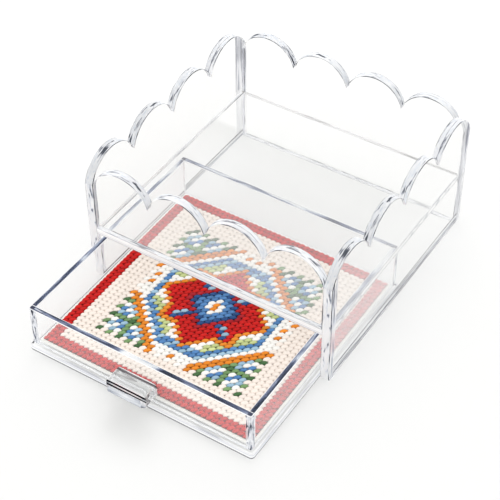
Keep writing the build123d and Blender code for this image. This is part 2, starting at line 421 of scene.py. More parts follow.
# The drawer walls' top edges: dark slate streaks with paler stretches and darker ends, painted shade that stands in for
# the shaded table under the drawer seen down through the walls, with painted highlights.
DARK_TOP = [(0.34, (0.05, 0.06, 0.09)), (0.44, (0.11, 0.13, 0.20)), (0.51, (0.20, 0.23, 0.34)), (0.57, (0.34, 0.38, 0.49)),
            (0.62, (0.66, 0.71, 0.79)), (0.68, (0.93, 0.95, 0.97)), (0.78, WHITE)]
drawer_top_front = edge_mat("drawer_acrylic_edge_front", DARK_TOP, along=24.0, across=4.5, detail=2.0, distortion=0.3, ripple=0.1, veil=0.34,
                            patchy=(30.0, 0.10), tips=76.2,
                            along_bias=[(-80.0, -0.02), (-30.0, -0.02), (-14.0, 0.0), (-9.0, 0.24), (13.0, 0.24), (18.0, 0.0), (24.0, -0.14), (50.0, -0.02),
                                        (80.0, 0.0)])
drawer_top_back = edge_mat("drawer_acrylic_edge_back", DARK_TOP, along=24.0, across=3.0, detail=2.0, distortion=0.3, ripple=0.1, veil=0.34,
                           patchy=(30.0, 0.10), tips=76.2,
                           along_bias=[(-80.0, 0.02), (-60.0, 0.06), (40.0, 0.06), (60.0, 0.0), (80.0, 0.02)])
drawer_top_left = edge_mat("drawer_acrylic_edge_left", DARK_TOP, along=24.0, across=3.0, detail=2.0, distortion=0.3, ripple=0.1, veil=0.34,
                           patchy=(24.0, 0.08),
                           along_bias=[(187.5, 0.0), (197.0, 0.10), (269.0, 0.11), (276.0, 0.0), (345.0, 0.0)])
drawer_top_right = edge_mat("drawer_acrylic_edge_right", DARK_TOP, along=24.0, across=4.5, detail=2.0, distortion=0.3, ripple=0.1, veil=0.34,
                            patchy=(24.0, 0.08),
                            along_bias=[(187.5, 0.10), (268.0, 0.10), (276.0, 0.0), (300.0, 0.0), (345.0, -0.08)])
# The drawer walls' feet are kept near white, painted light; the arrises are white lines, painted highlights; the
# rounded uprights carry dark and white streaks, painted shade and highlights.
drawer_foot = edge_mat("drawer_acrylic_bond",
                       [(0.34, (0.80, 0.83, 0.90)), (0.47, (0.97, 0.975, 0.99)), (0.62, WHITE)],
                       along=40.0, across=3.0, ripple=0.05, veil=0.75)
drawer_arris = edge_mat("drawer_acrylic_arris",
                        [(0.34, (0.80, 0.82, 0.86)), (0.42, WHITE)],
                        along=30.0, across=5.0, ripple=0.05, veil=0.9)
drawer_post = edge_mat("drawer_acrylic_post",
                       [(0.37, (0.05, 0.055, 0.07)), (0.43, (0.30, 0.32, 0.38)), (0.475, (0.84, 0.86, 0.90)), (0.54, WHITE), (0.60, (0.80, 0.82, 0.87)),
                        (0.66, WHITE)],
                       along=1.3, across=8.0, ripple=0.3, veil=0.5)
# The drawer base's edge: white veil with a dark strip along its bottom and a grey line higher up, and a dark lower
# arris: painted contact shade and painted light.
flange_edge = edge_mat("drawer_base_edge",
                       [(0.32, (0.80, 0.83, 0.91)), (0.42, (0.97, 0.975, 0.995)), (0.52, WHITE)],
                       profile=[(0.0, (0.12, 0.12, 0.13)), (1.15, (0.22, 0.22, 0.24)), (1.35, WHITE), (2.9, WHITE), (3.05, (0.72, 0.73, 0.80)),
                                (3.5, (0.76, 0.77, 0.84)), (3.7, WHITE), (5.0, WHITE)],
                       along=60.0, across=1.6, ripple=0.05, veil=0.92, shadow=(0.96, 0.96, 0.962, 1))
flange_arris = edge_mat("drawer_base_arris",
                        [(0.36, (0.62, 0.63, 0.67)), (0.46, (0.92, 0.925, 0.94)), (0.54, WHITE)],
                        along=45.0, across=3.0, ripple=0.05, veil=0.75, shadow=(0.96, 0.96, 0.962, 1),
                        profile=[(0.0, (0.06, 0.06, 0.07)), (0.55, (0.14, 0.14, 0.16)), (0.70, WHITE), (5.0, WHITE)])
# The pull: its faces carry a painted sheen; its bevels near-black and grey stripes between white, painted reflections;
# the ring by the drawer front a dark band, painted shade; its front face blue-grey streaks, painted shade.
pull_face = face_mat("pull_acrylic", (0.985, 0.988, 0.992, 1), 0.05, 90.0, shadow=(0.55, 0.555, 0.55, 1), painted_sheen=0.07)
pull_bevel_m = edge_mat("pull_acrylic_bevel",
                        [(0.36, (0.10, 0.11, 0.13)), (0.42, (0.62, 0.64, 0.68)), (0.47, (0.97, 0.97, 0.98)), (0.62, WHITE)],
                        along=26.0, across=0.7, detail=0.6, distortion=0.2, ripple=0.1, veil=0.6, shadow=(0.55, 0.555, 0.55, 1),
                        profile=[(0.0, WHITE), (1.2, WHITE), (1.5, (0.34, 0.35, 0.40)), (2.3, (0.18, 0.19, 0.22)), (2.5, (0.78, 0.80, 0.85)),
                                 (3.4, (0.84, 0.86, 0.90)), (5.0, WHITE), (6.0, WHITE), (6.1, (0.02, 0.02, 0.025)), (6.9, (0.02, 0.02, 0.025)), (7.0, WHITE), (7.7, WHITE),
                                 (7.8, (0.01, 0.01, 0.015)), (8.9, (0.01, 0.01, 0.015)), (9.0, WHITE), (12.0, WHITE)])
pull_bond = edge_mat("pull_acrylic_bond",
                     [(0.34, (0.50, 0.49, 0.50)), (0.42, (0.80, 0.79, 0.80)), (0.50, WHITE)],
                     along=14.0, across=1.6, detail=1.0, ripple=0.1, veil=0.5, shadow=(0.55, 0.555, 0.55, 1), patchy=(12.0, 0.16),
                     profile=[(0.0, WHITE), (18.1, WHITE), (18.5, (0.42, 0.40, 0.41)), (19.3, (0.16, 0.15, 0.16)), (20.0, (0.26, 0.24, 0.25)),
                              (20.3, WHITE), (22.0, WHITE)])
pull_front = edge_mat("pull_acrylic_front",
                      [(0.36, (0.34, 0.37, 0.43)), (0.45, (0.62, 0.65, 0.71)), (0.53, (0.84, 0.86, 0.90)), (0.64, (0.97, 0.975, 0.985))],
                      along=22.0, across=3.0, detail=1.5, ripple=0.1, veil=0.5, shadow=(0.55, 0.555, 0.55, 1))


def plate(name, outline, place, depth, mats, bevel=0.35 * MM, top_bevel=None, steps=2, pick=None, crease=24.0):
    """A flat sheet of acrylic.  outline is its contour in its own plane, counter-
    clockwise; place(u, v, w) gives the point in the frame, w from 0 to depth.
    mats are face, edge, arris and any others that pick(u, v, nu, nv) chooses
    for an edge face from its middle and its outward direction."""
    n = len(outline)
    P = [np.array(p, float) for p in outline]
    area2 = sum(P[i][0] * P[(i + 1) % n][1] - P[(i + 1) % n][0] * P[i][1] for i in range(n))
    if area2 < 0:
        P.reverse()
    nrm = []
    for i in range(n):
        d = P[(i + 1) % n] - P[i]
        d /= np.linalg.norm(d)
        nrm.append(np.array([d[1], -d[0]]))
    mit = []
    for i in range(n):
        m = nrm[i - 1] + nrm[i]
        k = max(0.30, (1 + float(nrm[i - 1] @ nrm[i])) / 2)
        mit.append(m / 2 / k)
    seg = [float(np.linalg.norm(P[(i + 1) % n] - P[i])) for i in range(n)]
    run = np.concatenate([[0], np.cumsum(seg)])
    b0 = bevel
    b1 = bevel if top_bevel is None else top_bevel
    prof = []                                   # (inset, w)
    for k in range(steps + 1):
        a = math.pi / 2 * k / steps
        prof.append((b0 * (1 - math.sin(a)), b0 * (1 - math.cos(a))))
    for k in range(steps + 1):
        a = math.pi / 2 * (1 - k / steps)
        prof.append((b1 * (1 - math.sin(a)), depth - b1 * (1 - math.cos(a))))
    verts, faces, fm, fuv, smooth = [], [], [], [], []
    for inset, w in prof:
        for i in range(n):
            q = P[i] - mit[i] * inset
            verts.append(place(q[0], q[1], w))
    K = len(prof)
    for k in range(K - 1):
        for i in range(n):
            j = (i + 1) % n
            faces.append((k * n + i, k * n + j, (k + 1) * n + j, (k + 1) * n + i))
            if k == steps:
                mid = (P[i] + P[j]) / 2
                fm.append(1 if pick is None else pick(mid[0], mid[1], nrm[i][0], nrm[i][1]))
            else:
                fm.append(2)
            u0, u1 = run[i] * 1000, run[i + 1] * 1000
            w0, w1 = prof[k][1] * 1000, prof[k + 1][1] * 1000
            fuv.append(((u0, w0), (u1, w0), (u1, w1), (u0, w1)))
            smooth.append(True)
    faces.append(tuple(reversed(range(n)))); fm.append(0); smooth.append(False)
    fuv.append(tuple((P[i][0] * 1000, P[i][1] * 1000) for i in reversed(range(n))))
    faces.append(tuple((K - 1) * n + i for i in range(n))); fm.append(0); smooth.append(False)
    fuv.append(tuple((P[i][0] * 1000, P[i][1] * 1000) for i in range(n)))
    me = bpy.data.meshes.new(name)
    me.from_pydata([tuple(v) for v in verts], [], faces)
    me.update()
    uvl = me.uv_layers.new(name="edge")
    for p, uvs in zip(me.polygons, fuv):
        for li, q in zip(p.loop_indices, uvs):
            uvl.data[li].uv = q
    for p, mi, sm in zip(me.polygons, fm, smooth):
        p.material_index = mi
        p.use_smooth = sm
    bm = bmesh.new()
    bm.from_mesh(me)
    bmesh.ops.recalc_face_normals(bm, faces=bm.faces)
    for e in bm.edges:
        if len(e.link_faces) == 2:
            a, b = e.link_faces
            if not (a.smooth and b.smooth):
                e.smooth = False
            else:
                ra, rb = a.calc_area(), b.calc_area()
                same = max(ra, rb) < 6.0 * min(ra, rb)
                e.smooth = same and e.calc_face_angle(0.0) < math.radians(crease)
    bm.to_mesh(me)
    bm.free()
    for m in mats:
        me.materials.append(m)
    o = bpy.data.objects.new(name, me)
    scene.collection.objects.link(o)
    return o


def scalloped(u0, u1, bottom, valley, top, count, ends=(0.0, 0.0), seg=30, foot_r=0.0):
    """Outline of a plate with a row of equal arcs along its top.  ends trims
    the straight ends by the bond line; foot_r rounds the two foot corners."""
    c = (u1 - u0) / count / 2.0
    s = top - valley
    r = (c * c + s * s) / (2 * s)
    zc = valley + s - r
    half = math.asin(min(1.0, c / r))
    def turn(cu, start):
        return [(cu + foot_r * math.cos(math.radians(start + 15 * i)), bottom + foot_r + foot_r * math.sin(math.radians(start + 15 * i)))
                for i in range(7)]
    pts = turn(u1 - ends[1] - foot_r, -90) if foot_r > 0 else [(u1 - ends[1], bottom)]
    for k in reversed(range(count)):
        m = u0 + (2 * k + 1) * c
        for i in range(seg + 1):
            a = half - 2 * half * i / seg
            x = m + r * math.sin(a)
            z = zc + r * math.cos(a)
            if i == seg and k > 0:
                continue
            x = min(max(x, u0 + ends[0]), u1 - ends[1])
            pts.append((x, z))
    pts += turn(u0 + ends[0] + foot_r, 180) if foot_r > 0 else [(u0 + ends[0], bottom)]
    clean = [pts[0]]
    for p in pts[1:]:
        if abs(p[0] - clean[-1][0]) + abs(p[1] - clean[-1][1]) > 1e-7:
            clean.append(p)
    return clean


valley = 77.5 * MM
crown = B["left_side"][1].z
casing_mats = (pane, rim, arris, joint, bond, foot, post, post_low, end_face, foot_band)


def ends_bonded(u, v, nu, nv):
    return 3 if abs(nu) > 0.99 and v < valley else 1


def side_edges(u, v, nu, nv):
    if nv < -0.5:
        return 5
    return 8 if abs(nu) > 0.9 and v < valley else 1


lo, hi = B["left_side"]
left_side = plate("left_side_sheet", scalloped(lo.y, hi.y, lo.z, valley, crown, 4, foot_r=3.0 * MM),
                  lambda u, v, w: (lo.x + w, u, v), hi.x - lo.x, casing_mats, pick=side_edges)
lo2, hi2 = B["right_side"]
right_side = plate("right_side_sheet", scalloped(lo2.y, hi2.y, lo2.z, valley, crown, 4, foot_r=3.0 * MM),
                   lambda u, v, w: (lo2.x + w, u, v), hi2.x - lo2.x, casing_mats, pick=side_edges)


def zones(o, cuts, choose):
    """Cut the flat faces along planes and give the pieces other materials, for the
    streaky strips that a bonded joint shows next to itself: streaks of painted
    shade and light on the face, standing in for the joint seen through the sheet."""
    bm = bmesh.new()
    bm.from_mesh(o.data)
    for axis, at in cuts:
        co, no = [0.0, 0.0, 0.0], [0.0, 0.0, 0.0]
        co[axis], no[axis] = at, 1.0
        geom = list(bm.verts) + list(bm.edges) + list(bm.faces)
        bmesh.ops.bisect_plane(bm, geom=geom, plane_co=co, plane_no=no)
    for f in bm.faces:
        m = choose(f.calc_center_median(), f.normal, f.material_index)
        if m is not None:
            f.material_index = m
    bm.to_mesh(o.data)
    bm.free()


yf, yr = B["front_panel"][1].y, B["back_panel"][0].y
ztop = B["tray_floor"][1].z


def side_zone(outer_x, back_from):
    def choose(c, n, m):
        if m != 0:
            return None
        if abs(c.x - outer_x) > 0.1 * MM:
            return 9 if c.z < 5.3 * MM else None
        if c.y > back_from:
            return 6 if c.z > ztop else 7
        return 4 if c.y < yf - 0.4 * MM else None
    return choose


for o, x in ((left_side, lo.x), (right_side, hi2.x)):
    wide = yr - 4.6 * MM if x < 0 else yr + 0.4 * MM
    zones(o, [(1, yf - 0.4 * MM), (1, wide), (2, ztop), (2, 5.3 * MM)], side_zone(x, wide))
lo3, hi3 = B["back_panel"]
back_panel = plate("back_panel_sheet", scalloped(lo3.x, hi3.x, lo3.z, valley, crown, 4, (GAP, GAP)),
                   lambda u, v, w: (u, lo3.y + w, v), hi3.y - lo3.y, casing_mats, pick=ends_bonded)
lo4, hi4 = B["front_panel"]
front_panel = plate("front_panel_sheet", scalloped(lo4.x, hi4.x, lo4.z + GAP, valley, crown, 4, (GAP, GAP)),
                    lambda u, v, w: (u, lo4.y + w, v), hi4.y - lo4.y, casing_mats, pick=ends_bonded)
zones(back_panel, [(0, lo3.x + 1.6 * MM), (2, ztop)],
      lambda c, n, m: (6 if c.z > ztop else 7) if m == 0 and c.x < lo3.x + 1.6 * MM and n.y > 0.9 else None)
for o, n in ((left_side, "left_side"), (right_side, "right_side"), (back_panel, "back_panel"), (front_panel, "front_panel")):
    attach(o, "casing"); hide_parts(n)


def slab(name, node, mats, shrink=(0, 0, 0, 0, 0, 0), bevel=0.3 * MM, top_bevel=None, radius=0.0, corners=6,
         round_which=None, steps=2, pick=None):
    """Level sheet inside a node's box; shrink is x0, x1, y0, y1, z0, z1."""
    a, b = B[node]
    x0, x1, y0, y1, z0, z1 = (a.x + shrink[0], b.x - shrink[1], a.y + shrink[2], b.y - shrink[3],
                              a.z + shrink[4], b.z - shrink[5])
    pts = []
    for k, (cu, cv, st) in enumerate([(x0, y0, 180), (x1, y0, 270), (x1, y1, 0), (x0, y1, 90)]):
        r = radius if (round_which is None or k in round_which) else 0.0
        if r <= 0:
            pts.append((cu, cv))
            continue
        mu = cu + (r if cu == x0 else -r)
        mv = cv + (r if cv == y0 else -r)
        for i in range(corners + 1):
            t = math.radians(st + 90.0 * i / corners)
            pts.append((mu + r * math.cos(t), mv + r * math.sin(t)))
    return plate(name, pts, lambda u, v, w: (u, v, z0 + w), z1 - z0, mats, bevel=bevel, top_bevel=top_bevel, steps=steps, pick=pick)


def upright(name, node, mats, along, shrink=(0, 0, 0, 0, 0, 0), bevel=0.4 * MM):
    """Upright sheet inside a node's box, drawn on its broad face."""
    a, b = B[node]
    x0, x1, y0, y1, z0, z1 = (a.x + shrink[0], b.x - shrink[1], a.y + shrink[2], b.y - shrink[3],
                              a.z + shrink[4], b.z - shrink[5])
    if along == "x":
        return plate(name, [(x0, z0), (x1, z0), (x1, z1), (x0, z1)], lambda u, v, w: (u, y0 + w, v), y1 - y0, mats, bevel=bevel,
                     pick=lambda u, v, nu, nv: 3 if nv > 0.9 else 1)
    return plate(name, [(y0, z0), (y1, z0), (y1, z1), (y0, z1)], lambda u, v, w: (x0 + w, u, v), x1 - x0, mats, bevel=bevel,
                 pick=lambda u, v, nu, nv: 3 if nv > 0.9 else 1)


tray_floor = slab("tray_floor_sheet", "tray_floor",
                  (floor_pane, slab_edge, soft_arris, floor_joint, floor_joint_back, floor_joint_right, seam, seam_faint),
                  (GAP, GAP, 0, GAP, 0, 0), bevel=0.4 * MM,
                  pick=lambda u, v, nu, nv: 1 if nv < -0.9 else (4 if nv > 0.9 else (5 if nu > 0.9 else 3)))
tl, th = B["tray_floor"]


def joint_lines(c, n, m):
    """Thin lines on the floor's top face, a little in from its left and back edges, beside each bonded edge."""
    if m != 0 or n.z < 0.9:
        return None
    if tl.x + 2.3 * MM < c.x < tl.x + 2.75 * MM:
        return 6
    if th.y - 3.0 * MM < c.y < th.y - 2.4 * MM and c.x > tl.x + 2.75 * MM:
        return 7
    return None


zones(tray_floor, [(0, tl.x + 2.3 * MM), (0, tl.x + 2.75 * MM), (1, th.y - 3.0 * MM), (1, th.y - 2.4 * MM)], joint_lines)
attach(tray_floor, "casing"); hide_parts("tray_floor")

drawer_base = slab("drawer_base_sheet", "drawer_base", (base_pane, flange_edge, flange_arris), radius=2.5 * MM,
                   bevel=0.6 * MM, top_bevel=0.8 * MM, steps=3)


def box_wall(name, node, rounded, shrink, top_mat, post_from):
    """Drawer wall that runs past its neighbours, drawn in plan, with rounded uprights."""
    o = slab(name, node, (drawer_foot, drawer_pane, drawer_arris, top_mat, drawer_post), shrink, radius=1.2 * MM,
             round_which=rounded, bevel=0.4 * MM, pick=lambda u, v, nu, nv: 4 if abs(nu) > 0.3 else 1)
    top = max(o.data.polygons, key=lambda p: p.center.z)     # the foot and top edges are this sheet's two caps
    top.material_index = 3
    zones(o, [(0, -post_from), (0, post_from)], lambda c, n, m: 4 if m == 1 and abs(c.x) > post_from else None)
    return o


drawer_front = box_wall("drawer_front_sheet", "drawer_front", (0, 1), (0, 0, 0, 0, GAP, 0), drawer_top_front, 75.6 * MM)
drawer_back = box_wall("drawer_back_sheet", "drawer_back", (2, 3), (0, 0, 0, 0, GAP, 0), drawer_top_back, 77.4 * MM)
drawer_left = upright("drawer_left_sheet", "drawer_left_wall", (drawer_pane, drawer_foot, drawer_arris, drawer_top_left), "y",
                      (0, 0, GAP, GAP, GAP, 0))
drawer_right = upright("drawer_right_sheet", "drawer_right_wall", (drawer_pane, drawer_foot, drawer_arris, drawer_top_right), "y",
                       (0, 0, GAP, GAP, GAP, 0))
for o, n in ((drawer_base, "drawer_base"), (drawer_front, "drawer_front"), (drawer_back, "drawer_back"),
             (drawer_left, "drawer_left_wall"), (drawer_right, "drawer_right_wall")):
    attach(o, "drawer"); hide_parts(n)

# ---------------------------------------------------------------------------
# drawer pull: a solid block with wide bevels and soft corners
# ---------------------------------------------------------------------------
def pull():
    a, b = B["drawer_pull"]
    r, cut = 2.8 * MM, 2.2 * MM
    y_in, y_out = b.y - GAP, a.y
    def ring(inset, y, rr):
        x0, x1, z0, z1 = a.x + inset, b.x - inset, a.z + inset, b.z - inset
        pts = []
        for cx, cz, st in ((x0 + rr, z0 + rr, 180), (x1 - rr, z0 + rr, 270), (x1 - rr, z1 - rr, 0), (x0 + rr, z1 - rr, 90)):
            for i in range(9):
                t = math.radians(st + 90.0 * i / 8)
                pts.append((cx + rr * math.cos(t), y, cz + rr * math.sin(t)))
        return pts
    bm = bmesh.new()
    e = 0.25 * MM
    rings = [ring(0, y_in, r), ring(0, y_in - 2.6 * MM, r), ring(0, y_out + cut + e, r), ring(e * 0.3, y_out + cut - e * 0.3, r - e * 0.3),
             ring(cut - e, y_out + e * 0.3, r - cut + e * 0.5), ring(cut + e * 0.2, y_out, r - cut + 0.1 * MM)]
    vs = [[bm.verts.new(p) for p in rg] for rg in rings]
    n = len(vs[0])
    for k in range(len(vs) - 1):
        for i in range(n):
            j = (i + 1) % n
            f = bm.faces.new([vs[k][i], vs[k][j], vs[k + 1][j], vs[k + 1][i]])
            f.smooth = True
            f.material_index = 2 if k == 0 else (1 if k >= 2 else 0)
    bm.faces.new(list(reversed(vs[0])))
    bm.faces.new(vs[-1]).material_index = 3
    bmesh.ops.recalc_face_normals(bm, faces=bm.faces)
    uvl = bm.loops.layers.uv.new("edge")
    for f in bm.faces:
        for lp in f.loops:
            c = lp.vert.co
            lp[uvl].uv = (c.x * 1000, (c.y - a.y) * 1000 + (c.z - a.z) * 700)
    for ed in bm.edges:
        if len(ed.link_faces) == 2:
            ra, rb = ed.link_faces[0].calc_area(), ed.link_faces[1].calc_area()
            ed.smooth = max(ra, rb) < 4.0 * min(ra, rb) and ed.calc_face_angle(0.0) < math.radians(28)
    me = bpy.data.meshes.new("drawer_pull_block")
    bm.to_mesh(me); bm.free()
    for m in (pull_face, pull_bevel_m, pull_bond, pull_front):
        me.materials.append(m)
    o = bpy.data.objects.new("drawer_pull_block", me)
    scene.collection.objects.link(o)
    return o


pull_o = pull()
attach(pull_o, "drawer"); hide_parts("drawer_pull")

# ---------------------------------------------------------------------------
# needlepoint: board, canvas and stitches
# ---------------------------------------------------------------------------
NX, NY = 41, 42
ya, yb = B["needlepoint_yarn"]
pitch = (yb.x - ya.x) / NX


def design():
    """A generic quilt-like pattern, counted out in stitches: a plain border and
    band, patchwork corners, a stepped frame and an eight-pointed star."""
    g = np.full((NX, NY), "white", dtype=object)
    star = np.zeros((NX, NY), bool)
    for i in range(NX):
        for j in range(NY):
            au, av = abs(i - 20.0), abs(j - 20.5)
            star[i, j] = max(au, av) <= 7.1 or au + av <= 10.9
    inner = star.copy()
    inner[1:-1, 1:-1] = star[1:-1, 1:-1] & star[:-2, 1:-1] & star[2:, 1:-1] & star[1:-1, :-2] & star[1:-1, 2:]
    for i in range(NX):
        for j in range(NY):
            d = min(i, j, NX - 1 - i, NY - 1 - j)
            u, v = i - 20.0, j - 20.5
            au, av = abs(u), abs(v)
            s = au + av
            if d < 2:
                c = "red"
            elif d < 6 or (d == 6 and (i + j) % 2):
                c = "cream"
            elif s > 18.6:
                # patchwork: little four-petal blocks on a green ground
                a, b = int(14.5 - au) % 4, int(14.5 - av) % 4
                if (a, b) == (2, 2):
                    c = "white"
                elif (a, b) in ((1, 2), (2, 1), (3, 2), (2, 3)):
                    c = "blue" if (int(au) // 4 + int(av) // 4) % 2 else "sky"
                elif (a, b) in ((1, 1), (3, 3), (1, 3), (3, 1)):
                    c = "white" if (i + j) % 3 else "sky"
                else:
                    c = "green" if (i * 5 + j * 3) % 4 else "forest"
            elif s > 17.2:
                c = "orange"
            elif s > 16.1:
                c = "white"
            elif star[i, j]:
                if not inner[i, j]:
                    c = "orange"
                elif s <= 5.1:
                    c = "navy" if s > 3.9 else ("blue" if s > 2.4 else "white")
                    if s < 1:
                        c = "orange"
                elif s <= 6.1:
                    c = "crimson"
                elif abs(au - av) < 0.6 and max(au, av) < 5.7:
                    c = "sky" if (i + j) % 2 else "navy"
                else:
                    c = "red"
            else:
                ring = max(max(au, av), s * 0.7071)
                if ring > 11.9:
                    c = "orange" if ring > 12.8 and min(au, av) < 1.6 and (i + j) % 2 else "white"
                elif ring >= 10.2:
                    c = "blue" if (i + 2 * j) % 3 else "sky"
                elif ring >= 8.7 and min(au, av) > 3.4 and abs(au - av) > 1.1:
                    c = "lime"
                else:
                    c = "cream" if (i * 7 + j * 3) % 5 == 0 else "white"
            g[i, j] = c
    return g


YARN = {"red": (207, 12, 10), "crimson": (172, 18, 34), "cream": (247, 235, 225), "white": (250, 247, 242),
        "orange": (238, 138, 36), "blue": (84, 134, 190), "navy": (38, 78, 134), "sky": (160, 194, 216),
        "green": (122, 158, 104), "forest": (70, 108, 66), "lime": (202, 212, 146)}
yarn_names = list(YARN)


def yarn_material(name, rgb):
    m, nt = new_mat("yarn_" + name)
    out = N(nt, "ShaderNodeOutputMaterial")
    bs = N(nt, "ShaderNodeBsdfPrincipled")
    base = srgb(*rgb)
    bs.inputs["Roughness"].default_value = 0.68
    bs.inputs["IOR"].default_value = 1.45
    bs.inputs["Specular IOR Level"].default_value = 0.25
    bs.inputs["Sheen Weight"].default_value = 0.08
    bs.inputs["Sheen Roughness"].default_value = 0.4
    uv = N(nt, "ShaderNodeUVMap"); uv.uv_map = "yarn"
    mp = N(nt, "ShaderNodeMapping"); mp.inputs["Scale"].default_value = (2.2, 26.0, 1.0)
    mp.inputs["Rotation"].default_value = (0, 0, math.radians(9))
    fib = N(nt, "ShaderNodeTexNoise"); fib.inputs["Scale"].default_value = 1.0
    fib.inputs["Detail"].default_value = 3.0; fib.inputs["Roughness"].default_value = 0.6
    tone_and_shade = N(nt, "ShaderNodeAttribute"); tone_and_shade.attribute_name = "tone_and_shade"
    add = N(nt, "ShaderNodeMath", operation="MULTIPLY_ADD")
    add.inputs[1].default_value = 0.55
    L(nt, uv.outputs[0], mp.inputs["Vector"]); L(nt, mp.outputs[0], fib.inputs["Vector"])
    L(nt, fib.outputs["Fac"], add.inputs[0]); L(nt, tone_and_shade.outputs["Fac"], add.inputs[2])
    # The ramp holds lit and shaded copies of the yarn colour: the tone attribute drives it to the deep stop for painted
    # shade at the stitches' sides, ends and in the bed, and to the light stop for a painted highlight on their tops;
    # the fibre noise adds the yarn's own variation.
    ramp = N(nt, "ShaderNodeValToRGB")
    ramp.color_ramp.elements[0].position = 0.18
    ramp.color_ramp.elements[1].position = 0.95
    deep = ramp.color_ramp.elements.new(0.0)
    dp = 0.13 if sum(rgb) < 600 else 0.46
    deep.color = (base[0] * dp, base[1] * dp, base[2] * dp, 1)
    dk = 0.58 if sum(rgb) < 600 else 0.90
    ramp.color_ramp.elements[1].color = (base[0] * dk, base[1] * dk, base[2] * dk, 1)
    lt = 1.22 if sum(rgb) < 600 else 1.04
    ramp.color_ramp.elements[2].color = (min(1, base[0] * lt + 0.01), min(1, base[1] * lt + 0.01), min(1, base[2] * lt + 0.008), 1)
    L(nt, add.outputs[0], ramp.inputs["Fac"])
    L(nt, ramp.outputs["Color"], bs.inputs["Base Color"])
    bump = N(nt, "ShaderNodeBump"); bump.inputs["Strength"].default_value = 0.55
    bump.inputs["Distance"].default_value = 0.00018
    L(nt, fib.outputs["Fac"], bump.inputs["Height"]); L(nt, bump.outputs[0], bs.inputs["Normal"])
    L(nt, bs.outputs[0], out.inputs["Surface"])
    return m


